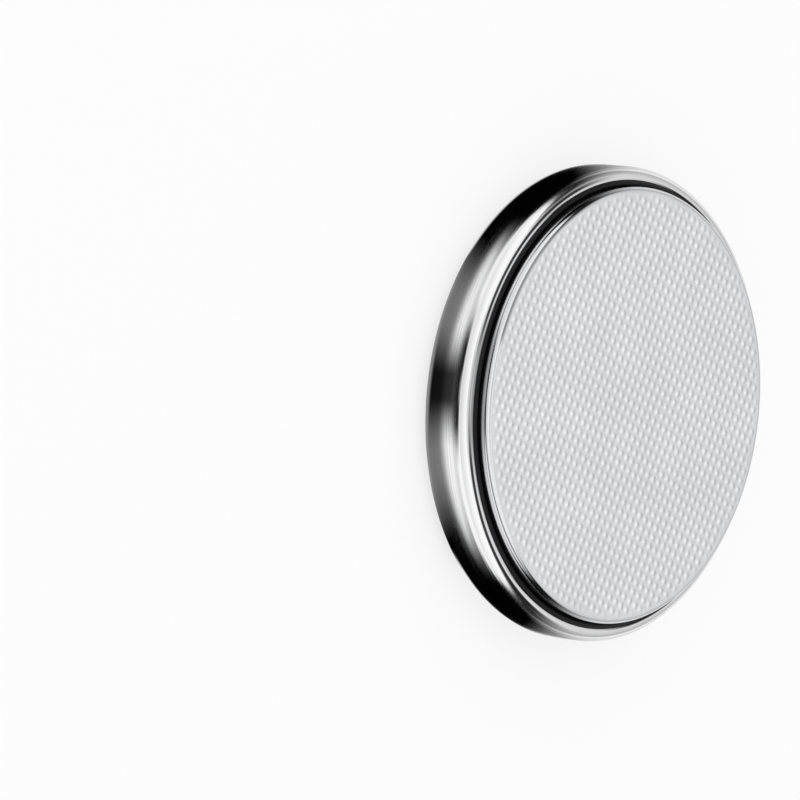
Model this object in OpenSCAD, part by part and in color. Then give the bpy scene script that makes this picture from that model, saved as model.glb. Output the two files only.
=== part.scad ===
// Round lithium coin cell, built from the pieces it is pressed together from.
// The base of the positive can lies on z = 0, the axis is +Z, the negative cap looks up.

/* [Cell] */
// Outside diameter of the finished cell
cell_diameter = 20; // [16:0.1:22]
// Overall height, from the base to the peaks of the embossed face
cell_height = 3.2; // [2.9:0.05:5]

/* [Positive can] */
// Sheet thickness of the can
can_sheet = 0.25; // [0.18:0.01:0.3]
// Outside radius of the bend between the base and the wall
base_round = 0.9; // [0.6:0.05:1.1]
// Outside radius of the shoulder where the wall is rolled over the gasket
shoulder_round = 0.45; // [0.35:0.01:0.55]
// How far the rolled lip reaches in from the wall
lip_reach = 0.57; // [0.5:0.01:0.8]
// How far the lip lies below the peaks of the embossed face
lip_drop = 0.62; // [0.4:0.01:0.8]
// Rounding left on the cut edge of the lip
lip_edge_round = 0.06; // [0.02:0.01:0.1]

/* [Negative cap] */
// Sheet thickness of the cap
cap_sheet = 0.2; // [0.12:0.01:0.25]
// Rounding between the cap's face and its side
cap_round = 0.2; // [0.1:0.01:0.3]
// Rounding where the cap's shoulder turns down into its skirt
skirt_round = 0.12; // [0.05:0.01:0.15]
// Side of one square pyramid of the embossed face
emboss_pitch = 0.423; // [0.4:0.001:0.8]
// Height of the embossed pyramids
emboss_height = 0.035; // [0.02:0.005:0.08]
// Turn of the rows of pyramids about the axis
emboss_turn = -22; // [-45:1:45]
// Smooth border between the pyramids and the rounding of the edge
emboss_border = 0.05; // [0.02:0.01:0.3]

/* [Gasket] */
// Wall of the gasket between the can and the cap's skirt
gasket_wall = 0.3; // [0.2:0.01:0.35]
// Thickness of the gasket squeezed between the lip and the cap's shoulder
gasket_top = 0.25; // [0.15:0.01:0.35]
// Thickness of the gasket under the end of the cap's skirt
gasket_foot = 0.3; // [0.2:0.01:0.5]
// Width of the black ring seen between the lip and the cap
ring_width = 0.25; // [0.15:0.01:0.3]
// Height of the gasket's inner wall above the floor of the can
inner_wall_height = 0.75; // [0.5:0.05:1]

/* [Inside] */
// Thickness of the perforated collector disc
collector_height = 0.12; // [0.08:0.01:0.2]
// Rings of holes round the middle hole of the collector disc
collector_rings = 5; // [3:1:5]
// Diameter of one hole of the collector disc
collector_hole = 0.9; // [0.4:0.05:1]
// Thickness of the lithium disc
anode_height = 0.6; // [0.4:0.05:0.9]
// How far the lithium disc stays inside the pellet's rim
anode_inset = 0.3; // [0.1:0.05:1]
// Thickness of the separator
separator_height = 0.13; // [0.05:0.01:0.2]
// How far the separator's edge is turned down round the pellet
separator_skirt = 0.9; // [0.5:0.05:1.2]
// Free room between the stack and the gasket's inner wall
stack_room = 0.6; // [0.3:0.05:1]
// Bevel on the pressed pellet's edges
pellet_bevel = 0.2; // [0.05:0.05:0.3]

/* [Hidden] */
$fn = 96;
round_fn = 24;
outside_r = cell_diameter / 2;
inside_r = outside_r - can_sheet;
lip_r = outside_r - lip_reach;
lip_z = cell_height - lip_drop;
roof_z = lip_z - can_sheet;

skirt_r = inside_r - gasket_wall;
cap_r = lip_r - ring_width;
plain_z = cell_height - emboss_height;
ceiling_z = plain_z - cap_sheet;
shoulder_z = roof_z - gasket_top;
skirt_end_z = can_sheet + gasket_foot;

inner_wall_r = skirt_r - cap_sheet - gasket_wall;
stack_r = inner_wall_r - stack_room;
pellet_r = stack_r - separator_height;
anode_r = pellet_r - anode_inset;
collector_r = pellet_r - pellet_bevel;
hole_pitch = (collector_r - collector_hole) / collector_rings;

pellet_z = can_sheet + collector_height;
anode_z = ceiling_z - anode_height;
separator_z = anode_z - separator_height;

emboss_r = cap_r - cap_round - emboss_border;
// squares from the middle to the rim, and how deep the middle of the pad is sunk in the sheet
emboss_half = ceil(emboss_r / emboss_pitch) + 1;
emboss_count = 2 * emboss_half;
emboss_sunk = cap_sheet / 2;

// Half section of a disc with a rounded low edge and a rounded high edge
module disc_section(radius, low, high, low_round, high_round) {
    translate([0, low])
        square([radius - low_round, high - low]);
    translate([0, low + low_round])
        square([radius, high - low - low_round - high_round]);
    translate([0, low])
        square([radius - high_round, high - low]);
    intersection() {
        union() {
            translate([radius - low_round, low + low_round])
                circle(low_round, $fn = round_fn);
            translate([radius - high_round, high - high_round])
                circle(high_round, $fn = round_fn);
        }
        translate([0, low])
            square([radius, high - low]);
    }
}

// What a rounded edge takes off a square corner whose material lies towards +X and -Y
module corner_waste(size) {
    difference() {
        translate([0, -size])
            square(size);
        translate([size, -size])
            circle(size, $fn = round_fn);
    }
}

// The room inside the can, shared by the can and the gasket that fills its edge
module can_room_section() {
    disc_section(inside_r, can_sheet, roof_z, base_round - can_sheet, shoulder_round - can_sheet);
}

module can_section() {
    difference() {
        disc_section(outside_r, 0, lip_z, base_round, shoulder_round);
        can_room_section();
        translate([0, roof_z - can_sheet])
            square([lip_r, 3 * can_sheet]);
        translate([lip_r, lip_z])
            corner_waste(lip_edge_round);
    }
}

// Outline of the cap with its inside filled
module cap_outline() {
    translate([0, shoulder_z])
        square([cap_r, plain_z - shoulder_z - cap_round]);
    translate([0, shoulder_z])
        square([cap_r - cap_round, plain_z - shoulder_z]);
    translate([cap_r - cap_round, plain_z - cap_round])
        circle(cap_round, $fn = round_fn);
    translate([0, skirt_end_z])
        square([skirt_r, shoulder_z - skirt_end_z - skirt_round]);
    translate([0, skirt_end_z])
        square([skirt_r - skirt_round, shoulder_z - skirt_end_z]);
    translate([skirt_r - skirt_round, shoulder_z - skirt_round])
        circle(skirt_round, $fn = round_fn);
}

module cap_section() {
    difference() {
        cap_outline();
        translate([0, skirt_end_z - cap_sheet])
            square([cap_r - cap_sheet, ceiling_z - skirt_end_z + cap_sheet]);
        translate([0, skirt_end_z - cap_sheet])
            square([skirt_r - cap_sheet, shoulder_z - skirt_end_z]);
    }
}

module gasket_section() {
    difference() {
        union() {
            // wall, foot and top, cut to the room inside the can
            intersection() {
                can_room_section();
                union() {
                    translate([skirt_r, can_sheet])
                        square([gasket_wall, roof_z - can_sheet]);
                    translate([inner_wall_r, can_sheet])
                        square([inside_r - inner_wall_r, gasket_foot]);
                    translate([inner_wall_r, can_sheet])
                        square([gasket_wall, inner_wall_height]);
                    translate([cap_r, shoulder_z])
                        square([inside_r - cap_r, gasket_top]);
                }
            }
            // the part squeezed up between the lip and the cap, with its round crown
            translate([cap_r, shoulder_z])
                square([ring_width, lip_z - shoulder_z - lip_edge_round]);
            translate([cap_r + ring_width / 2, lip_z - lip_edge_round])
                circle(ring_width / 2, $fn = round_fn);
        }
        skirt_outline();
    }
}

// The skirt's ring alone, as the gasket wraps it
module skirt_outline() {
    intersection() {
        cap_outline();
        translate([skirt_r - cap_sheet, skirt_end_z])
            square([cap_sheet, shoulder_z - skirt_end_z]);
    }
}

// True where the middle of square (i, j) lies close enough to be cut by the rim
function kept(i, j) =
    i >= 0 && j >= 0 && i < emboss_count && j < emboss_count
    && norm([i + 0.5 - emboss_half, j + 0.5 - emboss_half]) * emboss_pitch < emboss_r + emboss_pitch;

// Pad of square pyramids side by side, over a shallow cone that is sunk in the sheet
module emboss_pad() {
    side = emboss_count + 1;
    valleys = [for (i = [0:emboss_count]) for (j = [0:emboss_count])
        [i - emboss_half, j - emboss_half, 0] * emboss_pitch];
    peaks = [for (i = [0:emboss_count - 1]) for (j = [0:emboss_count - 1])
        [(i + 0.5 - emboss_half) * emboss_pitch, (j + 0.5 - emboss_half) * emboss_pitch, emboss_height]];
    first_peak = side * side;
    tip = first_peak + emboss_count * emboss_count;
    faces = [for (i = [0:emboss_count - 1]) for (j = [0:emboss_count - 1]) if (kept(i, j))
        let (a = i * side + j, b = a + side, c = b + 1, d = a + 1,
             peak = first_peak + i * emboss_count + j)
        each concat(
            [[b, a, peak], [c, b, peak], [d, c, peak], [a, d, peak]],
            kept(i, j - 1) ? [] : [[a, b, tip]],
            kept(i + 1, j) ? [] : [[b, c, tip]],
            kept(i, j + 1) ? [] : [[c, d, tip]],
            kept(i - 1, j) ? [] : [[d, a, tip]])];
    polyhedron(points = concat(valleys, peaks, [[0, 0, -emboss_sunk]]), faces = faces);
}

module positive_can() {
    color([0.72, 0.73, 0.74])
        rotate_extrude()
            can_section();
}

module gasket() {
    color([0.06, 0.06, 0.07])
        rotate_extrude()
            gasket_section();
}

module negative_cap() {
    color([0.82, 0.83, 0.83]) {
        rotate_extrude()
            cap_section();
        intersection() {
            translate([0, 0, plain_z])
                rotate([0, 0, emboss_turn])
                    emboss_pad();
            translate([0, 0, plain_z - cap_sheet])
                cylinder(r = emboss_r, h = 2 * cap_sheet);
        }
    }
}

// Perforated disc on the floor of the can
module collector_mesh() {
    color([0.62, 0.63, 0.64])
        difference() {
            translate([0, 0, can_sheet])
                cylinder(r = collector_r, h = collector_height);
            for (ring = [0:collector_rings])
                for (k = [0:max(ring * 6, 1) - 1])
                    rotate([0, 0, k * 360 / max(ring * 6, 1)])
                        translate([ring * hole_pitch, 0, can_sheet - collector_height])
                            cylinder(d = collector_hole, h = 3 * collector_height, $fn = round_fn);
        }
}

// Pressed pellet of the positive mix
module cathode_pellet() {
    color([0.12, 0.12, 0.12]) {
        translate([0, 0, pellet_z])
            cylinder(r1 = pellet_r - pellet_bevel, r2 = pellet_r, h = pellet_bevel);
        translate([0, 0, pellet_z + pellet_bevel])
            cylinder(r = pellet_r, h = separator_z - pellet_z - pellet_bevel);
    }
}

// Soft disc over the pellet with its edge turned down
module separator() {
    color([0.93, 0.92, 0.88])
        difference() {
            translate([0, 0, separator_z - separator_skirt])
                cylinder(r = stack_r, h = separator_skirt + separator_height);
            translate([0, 0, separator_z - separator_skirt - separator_height])
                cylinder(r = pellet_r, h = separator_skirt + separator_height);
        }
}

// Punched disc pressed against the inside of the cap
module lithium_anode() {
    color([0.75, 0.76, 0.78])
        translate([0, 0, anode_z])
            cylinder(r = anode_r, h = anode_height);
}

positive_can();
gasket();
negative_cap();
collector_mesh();
cathode_pellet();
separator();
lithium_anode();
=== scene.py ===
import math
import bpy
import bmesh
from mathutils import Matrix, Vector


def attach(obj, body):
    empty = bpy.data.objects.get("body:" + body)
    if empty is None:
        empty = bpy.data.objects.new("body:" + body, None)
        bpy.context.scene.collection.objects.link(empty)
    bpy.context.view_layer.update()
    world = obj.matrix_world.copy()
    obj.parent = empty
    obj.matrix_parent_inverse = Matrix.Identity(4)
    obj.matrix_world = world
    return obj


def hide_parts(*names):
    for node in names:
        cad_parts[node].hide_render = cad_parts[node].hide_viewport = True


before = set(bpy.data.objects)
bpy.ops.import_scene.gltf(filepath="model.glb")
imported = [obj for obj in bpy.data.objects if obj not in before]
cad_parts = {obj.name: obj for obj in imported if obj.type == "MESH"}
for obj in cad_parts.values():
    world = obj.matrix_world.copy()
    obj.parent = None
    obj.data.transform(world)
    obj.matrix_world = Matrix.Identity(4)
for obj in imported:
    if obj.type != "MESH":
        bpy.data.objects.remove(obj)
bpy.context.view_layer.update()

mm = 0.001
scene = bpy.context.scene
print("frame loaded:", ", ".join(sorted(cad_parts)))


# Half sections are lists of (radius, height) in millimetres
def arcPoints(middle, radius, start, end, steps=12):
    return [(middle[0] + radius * math.cos(math.radians(start + (end - start) * k / steps)),
             middle[1] + radius * math.sin(math.radians(start + (end - start) * k / steps)))
            for k in range(steps + 1)]


def withSupports(points, gap=0.02):  # a ring close to each end keeps long flats flat when shaded smooth
    out = [points[0]]
    for (r0, z0), (r1, z1) in zip(points, points[1:]):
        length = math.hypot(r1 - r0, z1 - z0)
        if length > 5 * gap:
            for near in (gap / length, 1 - gap / length):
                out.append((r0 + (r1 - r0) * near, z0 + (z1 - z0) * near))
        out.append((r1, z1))
    return out


def addNode(tree, kind, values=None, **settings):  # values set or link its sockets, settings its options
    made = tree.nodes.new(kind)
    for name, value in settings.items():
        setattr(made, name, value)
    for name, value in (values or {}).items():
        if isinstance(value, bpy.types.NodeSocket):
            tree.links.new(value, made.inputs[name])
        else:
            made.inputs[name].default_value = value
    return made


def maths(tree, operation, *values):
    return addNode(tree, "ShaderNodeMath", dict(enumerate(values)), operation=operation).outputs[0]


def times(tree, *values):
    total = values[0]
    for value in values[1:]:
        total = maths(tree, "MULTIPLY", total, value)
    return total


def opposite(tree, value):  # one less the value
    return maths(tree, "SUBTRACT", 1.0, value)


def vectorMaths(tree, operation, *values):
    made = addNode(tree, "ShaderNodeVectorMath", dict(enumerate(values)), operation=operation)
    return made.outputs["Value"] if operation in ("LENGTH", "DOT_PRODUCT") else made.outputs["Vector"]


def ramp(tree, value, low, high, first=0.0, last=1.0, curve="SMOOTHSTEP"):  # first at low, last at high
    made = addNode(tree, "ShaderNodeMapRange",
                   {"Value": value, "From Min": low, "From Max": high, "To Min": first, "To Max": last},
                   interpolation_type=curve)
    return made.outputs["Result"]


def turnedTree():  # turns a half section round the axis
    tree = bpy.data.node_groups.new("turnedSection", "GeometryNodeTree")
    face = tree.interface
    face.new_socket("Section", in_out="INPUT", socket_type="NodeSocketGeometry")
    face.new_socket("Segments", in_out="INPUT", socket_type="NodeSocketInt")
    face.new_socket("Finish", in_out="INPUT", socket_type="NodeSocketMaterial")
    face.new_socket("Geometry", in_out="OUTPUT", socket_type="NodeSocketGeometry")
    given = tree.nodes.new("NodeGroupInput")
    result = tree.nodes.new("NodeGroupOutput")
    size = addNode(tree, "GeometryNodeAttributeDomainSize", {"Geometry": given.outputs["Section"]})
    rows = size.outputs["Point Count"]
    columns = maths(tree, "ADD", given.outputs["Segments"], 1.0)
    grid = addNode(tree, "GeometryNodeMeshGrid", {"Size X": 1.0, "Size Y": 1.0, "Vertices X": columns,
                                                 "Vertices Y": rows})
    place = addNode(tree, "ShaderNodeSeparateXYZ", {"Vector": tree.nodes.new("GeometryNodeInputPosition").outputs[0]})
    across = maths(tree, "ADD", place.outputs["X"], 0.5)
    along = maths(tree, "MULTIPLY", maths(tree, "ADD", place.outputs["Y"], 0.5), maths(tree, "SUBTRACT", rows, 1.0))
    point = addNode(tree, "GeometryNodeSampleIndex",
                    {"Geometry": given.outputs["Section"], "Index": maths(tree, "ROUND", along)},
                    data_type="FLOAT_VECTOR", domain="POINT")
    tree.links.new(tree.nodes.new("GeometryNodeInputPosition").outputs[0], point.inputs["Value"])
    section = addNode(tree, "ShaderNodeSeparateXYZ", {"Vector": point.outputs[0]})
    angle = maths(tree, "MULTIPLY", across, 2 * math.pi)
    spun = addNode(tree, "ShaderNodeCombineXYZ",
                   {"X": maths(tree, "MULTIPLY", section.outputs["X"], maths(tree, "COSINE", angle)),
                    "Y": maths(tree, "MULTIPLY", section.outputs["X"], maths(tree, "SINE", angle)),
                    "Z": section.outputs["Z"]})
    moved = addNode(tree, "GeometryNodeSetPosition", {"Geometry": grid.outputs["Mesh"], "Position": spun.outputs[0]})
    merged = addNode(tree, "GeometryNodeMergeByDistance", {"Geometry": moved.outputs[0], "Distance": 1e-6})
    smooth = addNode(tree, "GeometryNodeSetShadeSmooth", {"Geometry": merged.outputs[0]})
    real = addNode(tree, "GeometryNodeRealizeInstances", {"Geometry": smooth.outputs[0]})
    finished = addNode(tree, "GeometryNodeSetMaterial", {"Geometry": real.outputs[0],
                                                         "Material": given.outputs["Finish"]})
    tree.links.new(finished.outputs[0], result.inputs[0])
    return tree


def embossedTree():  # a round sheet with rows of pressed bumps
    tree = bpy.data.node_groups.new("embossedSheet", "GeometryNodeTree")
    face = tree.interface
    for name, kind in (("Radius", "Float"), ("Pitch", "Float"), ("Height", "Float"), ("Bump Width", "Float"),
                       ("Fade", "Float"), ("Turn", "Float"), ("Level", "Float"), ("Cells Per Bump", "Int"),
                       ("Finish", "Material")):
        face.new_socket(name, in_out="INPUT", socket_type="NodeSocket" + kind)
    face.new_socket("Geometry", in_out="OUTPUT", socket_type="NodeSocketGeometry")
    given = tree.nodes.new("NodeGroupInput")
    result = tree.nodes.new("NodeGroupOutput")
    pitch, radius = given.outputs["Pitch"], given.outputs["Radius"]
    bumps = maths(tree, "MULTIPLY", maths(tree, "CEIL", maths(tree, "DIVIDE", radius, pitch)), 2.0)
    side = maths(tree, "MULTIPLY", bumps, pitch)
    cells = maths(tree, "MULTIPLY", bumps, given.outputs["Cells Per Bump"])
    corners = maths(tree, "ADD", cells, 1.0)
    grid = addNode(tree, "GeometryNodeMeshGrid", {"Size X": side, "Size Y": side, "Vertices X": corners,
                                                 "Vertices Y": corners})
    position = tree.nodes.new("GeometryNodeInputPosition").outputs[0]
    away = vectorMaths(tree, "LENGTH", position)
    outside = maths(tree, "GREATER_THAN", away, radius)
    disc = addNode(tree, "GeometryNodeDeleteGeometry", {"Geometry": grid.outputs["Mesh"], "Selection": outside},
                   domain="POINT")
    place = addNode(tree, "ShaderNodeSeparateXYZ", {"Vector": position})
    offsets = [maths(tree, "SUBTRACT", maths(tree, "FRACT", maths(tree, "DIVIDE", place.outputs[axis], pitch)), 0.5)
               for axis in ("X", "Y")]
    fromPeak = maths(tree, "SQRT", maths(tree, "ADD", maths(tree, "MULTIPLY", offsets[0], offsets[0]),
                                         maths(tree, "MULTIPLY", offsets[1], offsets[1])))
    share = maths(tree, "MINIMUM", maths(tree, "DIVIDE", maths(tree, "MULTIPLY", fromPeak, 2.0),
                                         given.outputs["Bump Width"]), 1.0)
    dome = maths(tree, "MULTIPLY", maths(tree, "ADD", maths(tree, "COSINE", maths(tree, "MULTIPLY", share, math.pi)),
                                         1.0), 0.5)
    inner = maths(tree, "SUBTRACT", radius, given.outputs["Fade"])
    fade = ramp(tree, away, inner, radius, 1.0, 0.0)
    rise = times(tree, dome, fade, given.outputs["Height"])
    level = addNode(tree, "ShaderNodeCombineXYZ", {"X": place.outputs["X"], "Y": place.outputs["Y"],
                                                   "Z": maths(tree, "ADD", rise, given.outputs["Level"])})
    turned = addNode(tree, "ShaderNodeVectorRotate", {"Vector": level.outputs[0], "Angle": given.outputs["Turn"]},
                     rotation_type="Z_AXIS")
    moved = addNode(tree, "GeometryNodeSetPosition", {"Geometry": disc.outputs[0], "Position": turned.outputs[0]})
    smooth = addNode(tree, "GeometryNodeSetShadeSmooth", {"Geometry": moved.outputs[0]})
    real = addNode(tree, "GeometryNodeRealizeInstances", {"Geometry": smooth.outputs[0]})
    finished = addNode(tree, "GeometryNodeSetMaterial", {"Geometry": real.outputs[0],
                                                         "Material": given.outputs["Finish"]})
    tree.links.new(finished.outputs[0], result.inputs[0])
    return tree


def grownMesh(name, tree, inputs, points=()):  # runs a tree on a section's points and keeps the plain mesh
    source = bpy.data.meshes.new(name + "Section")
    source.from_pydata([(r * mm, 0, z * mm) for r, z in points], [], [])
    helper = bpy.data.objects.new(name + "Helper", source)
    scene.collection.objects.link(helper)
    modifier = helper.modifiers.new("grow", "NODES")
    modifier.node_group = tree
    sockets = {item.name: item.identifier for item in tree.interface.items_tree if item.in_out == "INPUT"}
    for label, value in inputs.items():
        modifier[sockets[label]] = value
    bpy.context.view_layer.update()
    shown = helper.evaluated_get(bpy.context.evaluated_depsgraph_get())
    mesh = bpy.data.meshes.new_from_object(shown)
    mesh.name = name
    helper.modifiers.remove(modifier)
    bpy.data.objects.remove(helper)
    return mesh


def finishedPiece(name, mesh, finish, node):  # outward faces, crisp cut edges, then the frame's calls
    work = bmesh.new()
    work.from_mesh(mesh)
    bmesh.ops.remove_doubles(work, verts=work.verts, dist=1e-7)
    bmesh.ops.recalc_face_normals(work, faces=work.faces)
    openEdges = sum(1 for e in work.edges if len(e.link_faces) != 2)
    if work.calc_volume(signed=True) < 0:
        bmesh.ops.reverse_faces(work, faces=work.faces)
    for f in work.faces:
        f.smooth, f.material_index = True, 0
    work.to_mesh(mesh)
    work.free()
    mesh.materials.clear()
    mesh.materials.append(finish)
    mesh.set_sharp_from_angle(angle=math.radians(50))
    piece = bpy.data.objects.new(name, mesh)
    scene.collection.objects.link(piece)
    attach(piece, "root")
    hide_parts(node)
    print("piece", name, "faces", len(mesh.polygons), "open edges", openEdges)
    return piece


def newGroup(name, inputs, outputs):  # an effect that several materials share
    tree = bpy.data.node_groups.new(name, "ShaderNodeTree")
    for label, kind, value in inputs:
        socket = tree.interface.new_socket(label, in_out="INPUT", socket_type="NodeSocket" + kind)
        if value is not None:
            socket.default_value = value
    for label, kind in outputs:
        tree.interface.new_socket(label, in_out="OUTPUT", socket_type="NodeSocket" + kind)
    return tree, tree.nodes.new("NodeGroupInput"), tree.nodes.new("NodeGroupOutput")


def objectPlace(tree):  # the place on the piece, in millimetres
    coordinates = tree.nodes.new("ShaderNodeTexCoord").outputs["Object"]
    return vectorMaths(tree, "MULTIPLY", coordinates, (1000.0, 1000.0, 1000.0))


def turnedLinesGroup():  # fine lines round the axis, as turning and drawing leave them
    tree, given, result = newGroup("turnedLines", [("Lines Per mm", "Float", 20.0), ("Waver", "Float", 0.2)],
                                   [("Height", "Float"), ("Mask", "Float")])
    place = objectPlace(tree)
    parts = addNode(tree, "ShaderNodeSeparateXYZ", {"Vector": place})
    reach = maths(tree, "SQRT", maths(tree, "ADD", maths(tree, "MULTIPLY", parts.outputs["X"], parts.outputs["X"]),
                                      maths(tree, "MULTIPLY", parts.outputs["Y"], parts.outputs["Y"])))
    waver = vectorMaths(tree, "MULTIPLY", place, (0.35, 0.35, 0.0))
    slow = addNode(tree, "ShaderNodeTexNoise", {"Vector": waver, "Scale": 1.0, "Detail": 1.0}).outputs["Fac"]
    shift = maths(tree, "MULTIPLY", slow, given.outputs["Waver"])
    lines = addNode(tree, "ShaderNodeCombineXYZ",
                    {"X": maths(tree, "MULTIPLY", maths(tree, "ADD", reach, shift), given.outputs["Lines Per mm"]),
                     "Y": maths(tree, "MULTIPLY", parts.outputs["Z"], given.outputs["Lines Per mm"]),
                     "Z": slow})
    noise = addNode(tree, "ShaderNodeTexNoise", {"Vector": lines.outputs[0], "Scale": 1.0, "Detail": 3.0,
                                                 "Roughness": 0.6}).outputs["Fac"]
    tree.links.new(noise, result.inputs["Height"])
    tree.links.new(ramp(tree, noise, 0.35, 0.7), result.inputs["Mask"])
    return tree


def rubMarksGroup():  # short fine scratches in three directions
    tree, given, result = newGroup("rubMarks", [("Scale", "Float", 1.0), ("Amount", "Float", 0.5)],
                                   [("Mask", "Float"), ("Height", "Float")])
    place = objectPlace(tree)
    total = None
    for turn, seed in ((0.4, 3.0), (1.5, 11.0), (2.6, 23.0)):
        turned = addNode(tree, "ShaderNodeVectorRotate", {"Vector": place, "Angle": turn}, rotation_type="Z_AXIS")
        stretched = vectorMaths(tree, "MULTIPLY", turned.outputs[0], (0.5, 14.0, 9.0))
        moved = vectorMaths(tree, "ADD", stretched, (seed, seed * 2, seed * 3))
        noise = addNode(tree, "ShaderNodeTexNoise", {"Vector": moved, "Scale": given.outputs["Scale"],
                                                     "Detail": 2.0}).outputs["Fac"]
        line = ramp(tree, noise, 0.66, 0.72)
        total = line if total is None else maths(tree, "MAXIMUM", total, line)
    mask = maths(tree, "MULTIPLY", total, given.outputs["Amount"])
    tree.links.new(mask, result.inputs["Mask"])
    tree.links.new(maths(tree, "MULTIPLY", mask, -1.0), result.inputs["Height"])
    return tree


def grainGroup():  # fine grain with slower clouding
    tree, given, result = newGroup("grain", [("Grains Per mm", "Float", 10.0), ("Cloud Size", "Float", 3.0),
                                             ("Dark", "Color", (0, 0, 0, 1)), ("Light", "Color", (1, 1, 1, 1))],
                                   [("Color", "Color"), ("Height", "Float"), ("Mask", "Float")])
    place = objectPlace(tree)
    fine = addNode(tree, "ShaderNodeTexNoise", {"Vector": place, "Scale": given.outputs["Grains Per mm"],
                                                "Detail": 4.0, "Roughness": 0.65}).outputs["Fac"]
    cloud = addNode(tree, "ShaderNodeTexNoise",
                    {"Vector": place, "Scale": maths(tree, "DIVIDE", 1.0, given.outputs["Cloud Size"]),
                     "Detail": 2.0}).outputs["Fac"]
    mask = ramp(tree, maths(tree, "ADD", maths(tree, "MULTIPLY", fine, 0.6), maths(tree, "MULTIPLY", cloud, 0.4)),
                0.35, 0.68)
    mixed = addNode(tree, "ShaderNodeMix", data_type="RGBA")
    tree.links.new(mask, mixed.inputs[0])
    tree.links.new(given.outputs["Dark"], mixed.inputs[6])
    tree.links.new(given.outputs["Light"], mixed.inputs[7])
    tree.links.new(mixed.outputs[2], result.inputs["Color"])
    tree.links.new(fine, result.inputs["Height"])
    tree.links.new(mask, result.inputs["Mask"])
    return tree


turnedLines, rubMarks, grain = turnedLinesGroup(), rubMarksGroup(), grainGroup()


def placeGroup(tree, group, **values):
    made = tree.nodes.new("ShaderNodeGroup")
    made.node_tree = group
    for name, value in values.items():
        made.inputs[name.replace("_", " ")].default_value = value
    return made


def newMaterial(name):
    made = bpy.data.materials.new(name)
    made.use_nodes = True
    return made, made.node_tree, made.node_tree.nodes["Principled BSDF"]


def mixColours(tree, mask, first, second):
    made = addNode(tree, "ShaderNodeMix", data_type="RGBA")
    for socket, value in ((0, mask), (6, first), (7, second)):
        if isinstance(value, bpy.types.NodeSocket):
            tree.links.new(value, made.inputs[socket])
        else:
            made.inputs[socket].default_value = value
    return made.outputs[2]


def bumpFrom(tree, height, strength, distance):
    made = addNode(tree, "ShaderNodeBump", {"Height": height, "Strength": strength, "Distance": distance})
    return made.outputs["Normal"]


black = (0.0, 0.0, 0.0, 1)
# pairs give where an effect starts and where it ends, in millimetres
canLook = {
    "steel": (0.86, 0.86, 0.86, 1), "shade": (0.78, 0.78, 0.79, 1), "roughness": (0.09, 0.17),
    "baseLevel": 0.004, "satin": (0.55, 0.55, 0.55, 1), "satinShade": (0.47, 0.47, 0.475, 1),
    "satinRadius": (9.05, 9.0), "satinRoughness": 0.22,
    "mark": (0.93, 0.93, 0.93, 1), "markCentre": (-5.7, -0.17), "markArms": (5.6, 5.1), "markStroke": 0.82,
    "markEdge": 0.02, "markMetal": 0.2,
    # the next values set painted shade on the lip: a darkened band, a dark crease line and a dark inner edge
    "lipShadeRing": (9.74, 9.66), "lipShadeAbove": (2.4, 2.45), "lipShadeShare": 0.5, "lipShadeMiddle": (0.12, 0.42),
    "lipBack": (-4.4, -1.2), "creaseShade": 9.65, "creaseShift": 0.04, "creaseWidth": (0.043, 0.085),
    "creaseShare": (0.5, 0.95), "creaseFrom": (0.05, 0.35),
    "innerEdge": (9.49, 9.53), "innerBack": (0.0, 2.5), "innerShare": 0.95,
}


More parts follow.
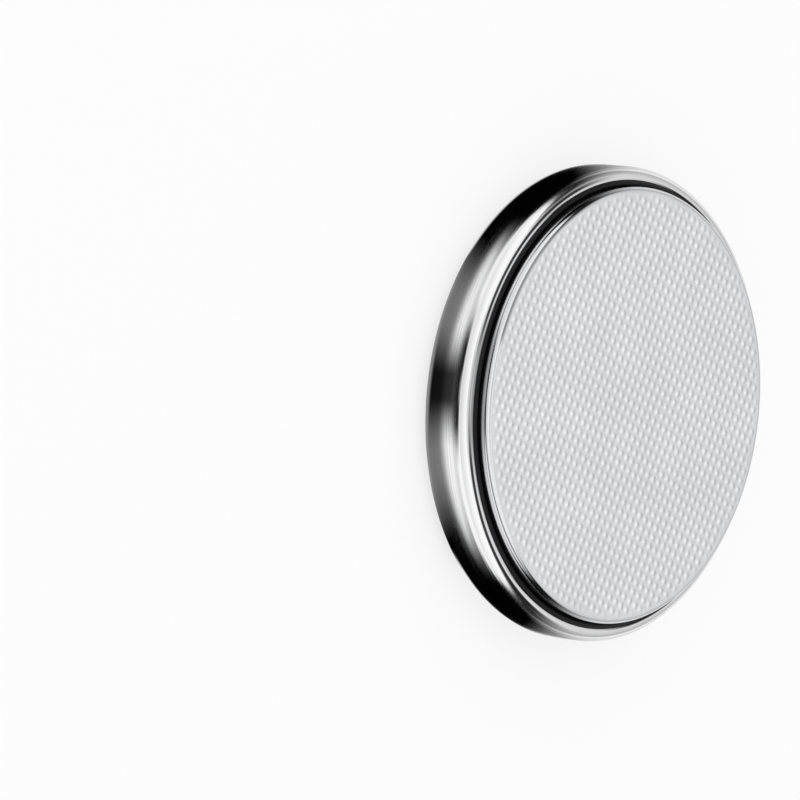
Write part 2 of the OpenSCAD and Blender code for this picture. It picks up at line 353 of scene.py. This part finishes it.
def canMaterial():
    made, tree, shader = newMaterial("polishedCanSteel")
    lines = placeGroup(tree, turnedLines, Lines_Per_mm=26.0, Waver=0.05)
    marks = placeGroup(tree, rubMarks, Scale=1.0, Amount=0.5)
    place = objectPlace(tree)
    parts = addNode(tree, "ShaderNodeSeparateXYZ", {"Vector": place})
    underside = maths(tree, "LESS_THAN", parts.outputs["Z"], canLook["baseLevel"])
    reach = vectorMaths(tree, "LENGTH", vectorMaths(tree, "MULTIPLY", place, (1.0, 1.0, 0.0)))
    satin = times(tree, underside, ramp(tree, reach, *canLook["satinRadius"]))

    def within(distance, half):  # 1 up to the half width, with a thin soft edge
        return ramp(tree, distance, half, half - canLook["markEdge"])

    # plus sign on the base: two bars
    aways = [maths(tree, "ABSOLUTE", maths(tree, "SUBTRACT", parts.outputs[axis], middle))
             for axis, middle in zip("XY", canLook["markCentre"])]
    half = canLook["markStroke"] / 2
    bars = [times(tree, within(aways[k], canLook["markArms"][k] / 2), within(aways[1 - k], half)) for k in (0, 1)]
    plus = times(tree, maths(tree, "MAXIMUM", *bars), satin)
    bare = mixColours(tree, lines.outputs["Mask"], canLook["shade"], canLook["steel"])
    matt = placeGroup(tree, grain, Grains_Per_mm=7.0, Cloud_Size=2.0, Dark=canLook["satinShade"],
                      Light=canLook["satin"])
    # painted shade: the rolled lip's front is darker than the wall, darkened towards black in a band and along a dark
    # crease line, both running out towards the back
    onLip = ramp(tree, parts.outputs["Z"], *canLook["lipShadeAbove"])
    lip = times(tree, onLip, ramp(tree, parts.outputs["Y"], *canLook["lipBack"], 1.0, 0.0))
    aside = maths(tree, "DIVIDE", parts.outputs["X"], reach)
    either = maths(tree, "ABSOLUTE", aside)
    lipShade = times(tree, ramp(tree, reach, *canLook["lipShadeRing"], 0.0, canLook["lipShadeShare"]), lip,
                 ramp(tree, either, *canLook["lipShadeMiddle"], 1.0, 0.0))
    lean = maths(tree, "MULTIPLY", aside, canLook["creaseShift"])
    away = maths(tree, "ABSOLUTE", maths(tree, "SUBTRACT", maths(tree, "SUBTRACT", reach, lean), canLook["creaseShade"]))
    creaseShade = times(tree, ramp(tree, away, *canLook["creaseWidth"], 1.0, 0.0), lip,
                   ramp(tree, either, *canLook["creaseFrom"], *canLook["creaseShare"]))
    # painted shade: the lip's inner edge is darkened towards black at the back
    inner = times(tree, ramp(tree, reach, *canLook["innerEdge"], canLook["innerShare"], 0.0), onLip,
                  ramp(tree, parts.outputs["Y"], *canLook["innerBack"]))
    shaded = maths(tree, "MAXIMUM", inner, maths(tree, "MAXIMUM", lipShade, creaseShade))
    bare = mixColours(tree, shaded, bare, black)
    colour = mixColours(tree, plus, mixColours(tree, satin, bare, matt.outputs["Color"]), canLook["mark"])
    tree.links.new(colour, shader.inputs["Base Color"])
    fine, coarse = canLook["roughness"]
    rough = ramp(tree, lines.outputs["Mask"], 0.0, 1.0, coarse, fine, "LINEAR")
    rough = maths(tree, "ADD", rough, maths(tree, "MULTIPLY", marks.outputs["Mask"], 0.15))
    rough = maths(tree, "ADD", rough, maths(tree, "MULTIPLY", satin, canLook["satinRoughness"]))
    tree.links.new(rough, shader.inputs["Roughness"])
    tree.links.new(opposite(tree, maths(tree, "MULTIPLY", plus, 1 - canLook["markMetal"])), shader.inputs["Metallic"])
    height = maths(tree, "ADD", lines.outputs["Height"], marks.outputs["Height"])
    tree.links.new(bumpFrom(tree, height, 0.06, 2e-6), shader.inputs["Normal"])
    return made


capLook = {"steel": (0.89, 0.893, 0.905, 1), "shade": (0.81, 0.813, 0.83, 1), "roughness": (0.1, 0.15),
           # edgeShade, lowShade and the line values set painted shade and a painted dark reflection line on the cap's
           # side
           "edge": (8.9, 9.05), "edgeRoughness": 0.1, "edgeShade": 0.15, "lowShade": (2.77, 2.88, 0.72),
           "line": (3.153, 2.99), "lineSwap": (-0.18, -0.12), "lineRise": 0.15, "lineGap": (0.02, 0.12),
           "lineWidth": (0.012, 0.035), "lineShare": 0.72, "lineBack": (-5.0, -2.5)}


def capMaterial():
    made, tree, shader = newMaterial("pressedCapSteel")
    cloud = placeGroup(tree, grain, Grains_Per_mm=9.0, Cloud_Size=2.5, Dark=capLook["shade"], Light=capLook["steel"])
    marks = placeGroup(tree, rubMarks, Scale=0.8, Amount=0.4)
    shader.inputs["Metallic"].default_value = 1.0
    fine, coarse = capLook["roughness"]
    rough = ramp(tree, cloud.outputs["Mask"], 0.0, 1.0, coarse, fine, "LINEAR")
    rough = maths(tree, "ADD", rough, maths(tree, "MULTIPLY", marks.outputs["Mask"], 0.12))
    place = objectPlace(tree)
    parts = addNode(tree, "ShaderNodeSeparateXYZ", {"Vector": place})
    reach = vectorMaths(tree, "LENGTH", vectorMaths(tree, "MULTIPLY", place, (1.0, 1.0, 0.0)))
    side = ramp(tree, reach, *capLook["edge"])
    # painted reflection: a dark line is painted along the bend, high on the left and low on the right; painted shade
    # darkens the side near the ring
    aside = maths(tree, "DIVIDE", parts.outputs["X"], reach)
    lineLevel = maths(tree, "ADD", ramp(tree, aside, *capLook["lineSwap"], *capLook["line"]),
                      maths(tree, "MULTIPLY", maths(tree, "MAXIMUM", aside, 0.0), capLook["lineRise"]))
    away = maths(tree, "ABSOLUTE", maths(tree, "SUBTRACT", parts.outputs["Z"], lineLevel))
    between = maths(tree, "ABSOLUTE", maths(tree, "SUBTRACT", aside, sum(capLook["lineSwap"]) / 2))
    line = times(tree, ramp(tree, away, *capLook["lineWidth"], capLook["lineShare"], 0.0),
                 ramp(tree, parts.outputs["Y"], *capLook["lineBack"], 1.0, 0.0),
                 ramp(tree, between, *capLook["lineGap"]))
    # painted shade: the cap's side is darkened towards black, most near the ring
    low, high, share = capLook["lowShade"]
    lower = ramp(tree, parts.outputs["Z"], low, high, share, capLook["edgeShade"])
    darker = times(tree, side, maths(tree, "MAXIMUM", line, lower))
    tree.links.new(mixColours(tree, darker, cloud.outputs["Color"], black), shader.inputs["Base Color"])
    rough = maths(tree, "ADD", times(tree, rough, opposite(tree, side)),
                  maths(tree, "MULTIPLY", side, capLook["edgeRoughness"]))
    tree.links.new(rough, shader.inputs["Roughness"])
    height = maths(tree, "ADD", cloud.outputs["Height"], marks.outputs["Height"])
    tree.links.new(bumpFrom(tree, height, 0.1, 1e-6), shader.inputs["Normal"])
    return made


gasketLook = {"dark": (0.004, 0.004, 0.005, 1), "light": (0.011, 0.011, 0.012, 1), "gloss": 0.17,
              "roughness": (0.4, 0.55)}


def gasketMaterial():
    made, tree, shader = newMaterial("blackGasketPlastic")
    cloud = placeGroup(tree, grain, Grains_Per_mm=6.0, Cloud_Size=2.0, Dark=gasketLook["dark"],
                       Light=gasketLook["light"])
    tree.links.new(cloud.outputs["Color"], shader.inputs["Base Color"])
    shader.inputs["Specular IOR Level"].default_value = gasketLook["gloss"]
    tree.links.new(ramp(tree, cloud.outputs["Mask"], 0.0, 1.0, *gasketLook["roughness"], "LINEAR"),
                   shader.inputs["Roughness"])
    tree.links.new(bumpFrom(tree, cloud.outputs["Height"], 0.15, 4e-6), shader.inputs["Normal"])
    return made


def innerMaterial(name, dark, light, grains, clouds, roughness, metallic, bump):
    made, tree, shader = newMaterial(name)
    cloud = placeGroup(tree, grain, Grains_Per_mm=grains, Cloud_Size=clouds, Dark=dark, Light=light)
    tree.links.new(cloud.outputs["Color"], shader.inputs["Base Color"])
    shader.inputs["Metallic"].default_value = metallic
    tree.links.new(ramp(tree, cloud.outputs["Mask"], 0.0, 1.0, *roughness, "LINEAR"), shader.inputs["Roughness"])
    tree.links.new(bumpFrom(tree, cloud.outputs["Height"], 0.5, bump), shader.inputs["Normal"])
    return made


can = {"radius": 10.0, "sheet": 0.25, "baseRound": 0.9, "shoulderRound": 0.45, "lipRadius": 9.43, "lipLevel": 2.58,
       "edgeRound": 0.035, "segments": 288}
turned = turnedTree()


def canSection():  # up the outside from the axis, over the lip and back down the inside
    inside, roof = can["radius"] - can["sheet"], can["lipLevel"] - can["sheet"]
    baseBend, topBend = can["baseRound"] - can["sheet"], can["shoulderRound"] - can["sheet"]
    edge = can["edgeRound"]
    points = [(0, 0)]
    points += arcPoints((can["radius"] - can["baseRound"], can["baseRound"]), can["baseRound"], -90, 0, 20)
    points += arcPoints((can["radius"] - can["shoulderRound"], can["lipLevel"] - can["shoulderRound"]),
                        can["shoulderRound"], 0, 90, 20)
    points += arcPoints((can["lipRadius"] + edge, can["lipLevel"] - edge), edge, 90, 180, 6)
    points += [(can["lipRadius"], roof)]
    points += arcPoints((inside - topBend, roof - topBend), topBend, 90, 0, 8)
    points += arcPoints((inside - baseBend, can["sheet"] + baseBend), baseBend, 0, -90, 12)
    return withSupports(points + [(0, can["sheet"])])


canFinish = canMaterial()
canMesh = grownMesh("canShell", turned, {"Segments": can["segments"], "Finish": canFinish}, canSection())
finishedPiece("canShell", canMesh, canFinish, "positive_can")

gasket = {"ringInner": 9.18, "ringOuter": 9.43, "crownLevel": 2.52, "skirtRadius": 9.45, "capSheet": 0.2,
          "innerWall": 8.95, "wall": 0.3, "innerHeight": 0.75, "foot": 0.3, "shoulderLevel": 2.08, "segments": 256}


def gasketSection():  # a trough round the cap's skirt, with the crown that shows beside the lip
    inside, roof, low = can["radius"] - can["sheet"], can["lipLevel"] - can["sheet"], can["sheet"]
    baseBend, topBend = can["baseRound"] - can["sheet"], can["shoulderRound"] - can["sheet"]
    skirtInner = gasket["skirtRadius"] - gasket["capSheet"]
    crown = (gasket["ringOuter"] - gasket["ringInner"]) / 2
    points = [(gasket["innerWall"], low), (gasket["innerWall"], low + gasket["innerHeight"]),
              (gasket["innerWall"] + gasket["wall"], low + gasket["innerHeight"]), (skirtInner, low + gasket["foot"]),
              (gasket["skirtRadius"], low + gasket["foot"]), (gasket["skirtRadius"], gasket["shoulderLevel"]),
              (gasket["ringInner"], gasket["shoulderLevel"])]
    points += arcPoints((gasket["ringInner"] + crown, gasket["crownLevel"]), crown, 180, 0, 16)
    points += [(gasket["ringOuter"], roof)]
    points += arcPoints((inside - topBend, roof - topBend), topBend, 90, 0, 8)
    points += arcPoints((inside - baseBend, low + baseBend), baseBend, 0, -90, 12)
    return withSupports(points + [points[0]])


gasketFinish = gasketMaterial()
gasketMesh = grownMesh("gasketRing", turned, {"Segments": gasket["segments"], "Finish": gasketFinish},
                       gasketSection())
finishedPiece("gasketRing", gasketMesh, gasketFinish, "gasket")

# the cap is one sheet with its embossed face
cap = {"radius": 9.18, "sheet": 0.2, "edgeRound": 0.2, "level": 3.165, "shoulderLevel": 2.08, "skirtRadius": 9.45,
       "skirtRound": 0.12, "skirtEnd": 0.55, "embossRadius": 8.93, "pitch": 0.423, "bumpHeight": 0.035,
       "bumpWidth": 0.86, "fade": 0.3, "turn": -22.0, "cellsPerBump": 6}


def capSide():  # from the embossed face's border over the edge, down the skirt and back inside to the axis
    bend = cap["edgeRound"]
    points = [(cap["embossRadius"] + 0.02, cap["level"])]
    points += arcPoints((cap["radius"] - bend, cap["level"] - bend), bend, 90, 0, 10)
    points += [(cap["radius"], cap["shoulderLevel"])]
    points += arcPoints((cap["skirtRadius"] - cap["skirtRound"], cap["shoulderLevel"] - cap["skirtRound"]),
                        cap["skirtRound"], 90, 0, 4)
    inner = cap["radius"] - cap["sheet"]
    points += [(cap["skirtRadius"], cap["skirtEnd"]), (cap["skirtRadius"] - cap["sheet"], cap["skirtEnd"]),
               (cap["skirtRadius"] - cap["sheet"], cap["shoulderLevel"] - cap["sheet"]),
               (inner, cap["shoulderLevel"] - cap["sheet"]), (inner, cap["level"] - cap["sheet"])]
    return points


def wrapRings(mesh, rings, closeLevel):  # carries the sheet's cut border on through the rings to the axis
    work = bmesh.new()
    work.from_mesh(mesh)
    border = [e for e in work.edges if len(e.link_faces) == 1]
    following = {}
    for e in border:
        for v in e.verts:
            following.setdefault(v, []).append(e)
    first = border[0].verts[0]
    loop, edge = [first], following[first][0]
    while True:
        nextVert = edge.other_vert(loop[-1])
        if nextVert is first:
            break
        loop.append(nextVert)
        edge = [e for e in following[nextVert] if e is not edge][0]
    angles = [math.atan2(v.co.y, v.co.x) for v in loop]
    steps = [(b - a + math.pi) % (2 * math.pi) - math.pi for a, b in zip(angles, angles[1:] + angles[:1])]
    straight = [angles[0]]
    for step in steps[:-1]:
        straight.append(straight[-1] + step)
    count, whole, spread = len(loop), sum(steps), 6
    even = [sum(straight[(k + d) % count] + whole * ((k + d) // count) for d in range(-spread, spread + 1))
            / (2 * spread + 1) for k in range(count)]
    previous = loop
    for r, z in rings:
        ring = [work.verts.new((r * mm * math.cos(a), r * mm * math.sin(a), z * mm)) for a in even]
        for k in range(count):
            work.faces.new((previous[k], previous[(k + 1) % count], ring[(k + 1) % count], ring[k]))
        previous = ring
    middle = work.verts.new((0, 0, closeLevel * mm))
    for k in range(count):
        work.faces.new((previous[k], previous[(k + 1) % count], middle))
    work.to_mesh(mesh)
    work.free()


capFinish = capMaterial()
capMesh = grownMesh("capShell", embossedTree(), {
    "Radius": cap["embossRadius"] * mm, "Pitch": cap["pitch"] * mm, "Height": cap["bumpHeight"] * mm,
    "Bump Width": cap["bumpWidth"], "Fade": cap["fade"] * mm, "Turn": math.radians(cap["turn"]),
    "Level": cap["level"] * mm, "Cells Per Bump": cap["cellsPerBump"], "Finish": capFinish})
wrapRings(capMesh, withSupports(capSide()), cap["level"] - cap["sheet"])
finishedPiece("capShell", capMesh, capFinish, "negative_cap")

# the pieces inside keep the frame's meshes and get their finishes
innerFinishes = {
    "collector_mesh": innerMaterial("collectorSteel", (0.42, 0.42, 0.43, 1), (0.62, 0.62, 0.63, 1), 12, 2, (0.25, 0.4),
                                    1.0, 3e-6),
    "cathode_pellet": innerMaterial("pressedPelletMix", (0.008, 0.008, 0.009, 1), (0.035, 0.034, 0.034, 1), 14, 1.5,
                                    (0.75, 0.95), 0.0, 2e-5),
    "separator": innerMaterial("separatorFelt", (0.72, 0.70, 0.64, 1), (0.86, 0.85, 0.80, 1), 8, 1.2, (0.9, 1.0),
                               0.0, 3e-5),
    "lithium_anode": innerMaterial("lithiumSheet", (0.45, 0.46, 0.49, 1), (0.72, 0.73, 0.75, 1), 5, 2.5, (0.3, 0.5),
                                   1.0, 6e-6),
}
for nodeName, finish in innerFinishes.items():
    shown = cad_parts[nodeName]
    shown = bpy.data.objects[shown] if isinstance(shown, str) else shown
    if not shown.material_slots:
        shown.data.materials.append(finish)
    for holder in shown.material_slots:
        holder.material = finish
print("finishes set")

# the floor, with a painted reflection (painted shade and painted light) that only the steel sees in it: distances from
# the axis in millimetres, turns from the front in degrees
floor = {
    "size": 700.0, "drop": 0.01, "colour": (0.86, 0.86, 0.86, 1), "whiteShare": 0.72, "middle": (-1.5, 1.5),
    "ledge": (9.7, 10.2), "nearLevel": (0.32, 0.21), "nearSide": (22.0, 43.0),
    "streak": (3.0, 18.0, 0.97), "streakReach": (9.9, 10.3, 12.3, 12.5),
    "farEdge": (11.43, 11.98), "farLevel": (1.05, 1.14), "farFront": (6.9, 10.1), "farLean": 0.05,
    "farWider": (12.2, 13.2, 0.95),
    "fanLeft": (12.0, 30.0), "fanRight": (10.0, 25.0), "fanShare": 0.99, "fanReach": (12.25, 12.42, 14.0, 45.0),
    "fanGap": (7.0, 1.0, 12.8, 17.0, 0.3),
    "line": (12.48, 0.05, 0.16, 0.45), "lineSides": (30.0, 58.0, 0.55, 0.95), "bend": 0.0002,
    "back": (80.0, 114.0), "backShift": (11.0, 24.0), "backLevel": 0.87,
    "blobEdge": (9.7, 10.05, 0.0088), "blobStart": (31.0, 44.0, 9.0), "blobLevel": (0.68, 1.02),
    "blobEnd": (98.0, 125.0),
}


def floorMaterial():
    made = bpy.data.materials.new("paleFloor")
    made.use_nodes = True
    tree = made.node_tree
    tree.nodes.clear()
    out = tree.nodes.new("ShaderNodeOutputMaterial")
    light = tree.nodes.new("ShaderNodeLightPath")
    place = objectPlace(tree)
    parts = addNode(tree, "ShaderNodeSeparateXYZ", {"Vector": place})
    reach = vectorMaths(tree, "LENGTH", vectorMaths(tree, "MULTIPLY", place, (1.0, 1.0, 0.0)))
    aside = maths(tree, "ABSOLUTE", parts.outputs["X"])
    right = ramp(tree, parts.outputs["X"], *floor["middle"])
    turn = maths(tree, "DEGREES", maths(tree, "ARCTAN2", aside, maths(tree, "MULTIPLY", parts.outputs["Y"], -1.0)))
    bent = maths(tree, "ADD", reach, times(tree, turn, turn, floor["bend"]))

    def either(first, second):  # the first value on the left, the second on the right
        return ramp(tree, right, 0.0, 1.0, first, second, "LINEAR")

    # painted shade in what the steel sees close to the cell: grey, with a soft dark streak in front
    near = times(tree, ramp(tree, reach, *floor["ledge"], *floor["nearLevel"]),
                 ramp(tree, turn, *floor["nearSide"], 1.0, 0.0))
    narrow, wide, share = floor["streak"]
    rises, full, fades, ends = floor["streakReach"]
    streak = times(tree, ramp(tree, turn, narrow, wide, share, 0.0), ramp(tree, reach, rises, full),
                   ramp(tree, reach, fades, ends, 1.0, 0.0))
    # beyond it, painted reflection: a pale band that ends at both sides, with a dark fan and a thin dark line
    far = ramp(tree, reach, *floor["farEdge"])
    ahead = maths(tree, "ADD", maths(tree, "MULTIPLY", parts.outputs["Y"], -1.0),
                  maths(tree, "MULTIPLY", parts.outputs["X"], floor["farLean"]))
    ahead = maths(tree, "ADD", ahead, ramp(tree, reach, *floor["farWider"], 0.0))
    paleBandReflection = times(tree, far, ramp(tree, ahead, *floor["farFront"]), either(*floor["farLevel"]))
    rises, full, fades, ends = floor["fanReach"]
    narrow, wide = (either(*pair) for pair in zip(floor["fanLeft"], floor["fanRight"]))
    fan = times(tree, ramp(tree, turn, narrow, wide, floor["fanShare"], 0.0),
                ramp(tree, reach, rises, full), ramp(tree, reach, fades, ends, 1.0, 0.0))
    outer, inner, rises, full, share = floor["fanGap"]
    fan = times(tree, fan, opposite(tree, times(tree, ramp(tree, turn, outer, inner), ramp(tree, reach, rises, full),
                                                share)))
    middle, inner, outer, strength = floor["line"]
    first, last, wider, darker = floor["lineSides"]
    line = ramp(tree, maths(tree, "ABSOLUTE", maths(tree, "SUBTRACT", bent, middle)), inner,
                ramp(tree, turn, first, last, outer, wider), ramp(tree, turn, first, last, strength, darker), 0.0)
    lit = opposite(tree, maths(tree, "MAXIMUM", streak, maths(tree, "MAXIMUM", fan, line)))
    front = times(tree, maths(tree, "ADD", times(tree, near, opposite(tree, far)), paleBandReflection), lit)
    # at the back it is evenly pale, from further round the further away it is
    start, most = floor["backShift"]
    shift = maths(tree, "MINIMUM", maths(tree, "MAXIMUM", maths(tree, "SUBTRACT", reach, start), 0.0), most)
    back = ramp(tree, maths(tree, "SUBTRACT", turn, shift), *floor["back"], 0.0, floor["backLevel"])
    # painted light under the cell's round at both sides
    inner, outer, slope = floor["blobEdge"]
    left, rightStart, width = floor["blobStart"]
    under = maths(tree, "SUBTRACT", reach, maths(tree, "MULTIPLY", maths(tree, "SUBTRACT", turn, 40.0), slope))
    start = either(left, rightStart)
    paintedUnderLight = times(tree, ramp(tree, under, inner, outer, 1.0, 0.0),
                 ramp(tree, turn, start, maths(tree, "ADD", start, width)),
                 ramp(tree, turn, *floor["blobEnd"], 1.0, 0.0), either(*floor["blobLevel"]))
    paintedReflectionLevel = maths(tree, "MAXIMUM", maths(tree, "ADD", front, back), paintedUnderLight)
    pale = addNode(tree, "ShaderNodeBsdfDiffuse", {"Color": floor["colour"]})
    white = addNode(tree, "ShaderNodeEmission", {"Color": (1, 1, 1, 1), "Strength": 1.0})
    # painted reflection: an emission that only glossy rays see on the floor
    paintedReflection = addNode(tree, "ShaderNodeEmission", {"Strength": paintedReflectionLevel})
    forCamera = addNode(tree, "ShaderNodeMixShader", {0: floor["whiteShare"]})
    tree.links.new(pale.outputs[0], forCamera.inputs[1])
    tree.links.new(white.outputs[0], forCamera.inputs[2])
    first = addNode(tree, "ShaderNodeMixShader", {0: light.outputs["Is Camera Ray"]})
    tree.links.new(pale.outputs[0], first.inputs[1])
    tree.links.new(forCamera.outputs[0], first.inputs[2])
    second = addNode(tree, "ShaderNodeMixShader", {0: light.outputs["Is Glossy Ray"]})
    tree.links.new(first.outputs[0], second.inputs[1])
    tree.links.new(paintedReflection.outputs[0], second.inputs[2])
    tree.links.new(second.outputs[0], out.inputs["Surface"])
    return made


floorMesh = bpy.data.meshes.new("floor")
half, level = floor["size"] / 2 * mm, -floor["drop"] * mm
floorMesh.from_pydata([(-half, -half, level), (half, -half, level), (half, half, level), (-half, half, level)], [],
                      [(0, 1, 2, 3)])
floorMesh.materials.append(floorMaterial())
floorPiece = bpy.data.objects.new("floor", floorMesh)
scene.collection.objects.link(floorPiece)
print("floor laid")

# the room: white behind for the camera, soft light all round, which the steel mirrors; all turns in degrees
room = {"over": ((0, 0.84), (28, 1.0), (60, 1.15), (115, 1.15), (142, 0.77), (176, 0.33)),
        "zenith": (66.0, 82.0, 0.36), "ahead": (0.1, 0.5, 34.0, 8.0, 0.1), "glow": (9.0, 20.0, 1.0),
        "cardFront": (79.0, 90.0), "frontLean": 0.65, "cardBack": (104.0, 138.0), "backLean": 0.55,
        "cardTop": (46.0, 60.0), "cardLevel": 0.01}


def roomWorld():
    world = bpy.data.worlds.new("studioRoom")
    scene.world = world
    world.use_nodes = True
    tree = world.node_tree
    tree.nodes.clear()
    out = tree.nodes.new("ShaderNodeOutputWorld")
    light = tree.nodes.new("ShaderNodeLightPath")
    direction = tree.nodes.new("ShaderNodeTexCoord").outputs["Generated"]
    ray = addNode(tree, "ShaderNodeSeparateXYZ", {"Vector": direction})
    x, y, z = (ray.outputs[axis] for axis in ("X", "Y", "Z"))
    # brightness over the arch from the front horizon (0 degrees) over the top to the back one (180 degrees)
    arch = maths(tree, "DEGREES", maths(tree, "ARCTAN2", z, maths(tree, "MULTIPLY", y, -1.0)))
    soft = room["over"][0][1]
    for (first, low), (last, high) in zip(room["over"], room["over"][1:]):
        soft = maths(tree, "ADD", soft, ramp(tree, arch, first, last, 0.0, high - low, "LINEAR"))
    # duller overhead, and low down in front
    turn = maths(tree, "DEGREES", maths(tree, "ARCTAN2", maths(tree, "ABSOLUTE", x), maths(tree, "MULTIPLY", y, -1.0)))
    lift = maths(tree, "DEGREES", maths(tree, "ARCSINE", z))
    low, high, share = room["zenith"]
    soft = times(tree, soft, ramp(tree, lift, low, high, 1.0, 1 - share))
    inner, outer, high, low, share = room["ahead"]
    ahead = times(tree, ramp(tree, maths(tree, "ABSOLUTE", x), inner, outer, share, 0.0),
                  ramp(tree, lift, high, low), maths(tree, "LESS_THAN", y, 0.0))
    soft = times(tree, soft, opposite(tree, ahead))
    # pale low down at the back
    low, high, level = room["glow"]
    glow = times(tree, ramp(tree, lift, low, high, level, 0.0), maths(tree, "GREATER_THAN", y, 0.0))
    soft = maths(tree, "MAXIMUM", soft, glow)
    # dark cards at both sides, which only the steel sees
    above = maths(tree, "MAXIMUM", lift, 0.0)
    card = times(tree,
                 ramp(tree, maths(tree, "SUBTRACT", turn, maths(tree, "MULTIPLY", above, room["frontLean"])),
                      *room["cardFront"]),
                 ramp(tree, maths(tree, "SUBTRACT", turn, maths(tree, "MULTIPLY", above, room["backLean"])),
                      *room["cardBack"], 1.0, 0.0),
                 ramp(tree, lift, *room["cardTop"], 1.0, 0.0), light.outputs["Is Glossy Ray"])
    soft = times(tree, soft, ramp(tree, card, 0.0, 1.0, 1.0, room["cardLevel"], "LINEAR"))
    around = addNode(tree, "ShaderNodeBackground", {"Color": (1, 1, 1, 1), "Strength": soft})
    white = addNode(tree, "ShaderNodeBackground", {"Color": (1, 1, 1, 1), "Strength": 1.0})
    mixed = addNode(tree, "ShaderNodeMixShader", {0: light.outputs["Is Camera Ray"]})
    tree.links.new(around.outputs[0], mixed.inputs[1])
    tree.links.new(white.outputs[0], mixed.inputs[2])
    tree.links.new(mixed.outputs[0], out.inputs["Surface"])


roomWorld()
scene.view_settings.view_transform = "Standard"

lamp = {"name": "softTop", "place": (-60, -60, 140), "size": 120, "power": 0.02}


def setLamp():
    data = bpy.data.lights.new(lamp["name"], "AREA")
    data.shape, data.size, data.energy = "DISK", lamp["size"] * mm, lamp["power"]
    shown = bpy.data.objects.new(lamp["name"], data)
    shown.visible_glossy = False
    shown.location = Vector(lamp["place"]) * mm
    shown.rotation_euler = (-shown.location).to_track_quat("-Z", "Y").to_euler()
    scene.collection.objects.link(shown)


setLamp()

# where the cell lies in the picture, and how it is tilted and rolled there
view = {"tilt": 50.15, "roll": -6.10, "distance": 333.3, "pixelsPerMm": 23.747, "middlePixel": (569.4, 399.8),
        "pictureSize": 800, "sensor": 36.0}


def setCamera():
    tilt = Matrix.Rotation(math.radians(view["tilt"]), 3, "Y")
    roll = Matrix.Rotation(math.radians(view["roll"]), 3, "Z")
    towardsFront = Matrix.Rotation(math.radians(90), 3, "Z")
    turnBack = towardsFront @ (roll @ tilt).transposed()
    half = view["pictureSize"] / 2
    across, down = view["middlePixel"]
    right, up = (across - half) / view["pixelsPerMm"], (half - down) / view["pixelsPerMm"]
    data = bpy.data.cameras.new("camera")
    data.sensor_width = view["sensor"]
    data.lens = view["pixelsPerMm"] * view["distance"] * view["sensor"] / view["pictureSize"]
    data.clip_start, data.clip_end = 0.01, 10.0
    camera = bpy.data.objects.new("camera", data)
    camera.matrix_world = Matrix.LocRotScale(
        turnBack @ Vector((-right, -up, view["distance"])) * mm, turnBack.to_quaternion(), None)
    scene.collection.objects.link(camera)
    scene.camera = camera


setCamera()
print("camera and light set")
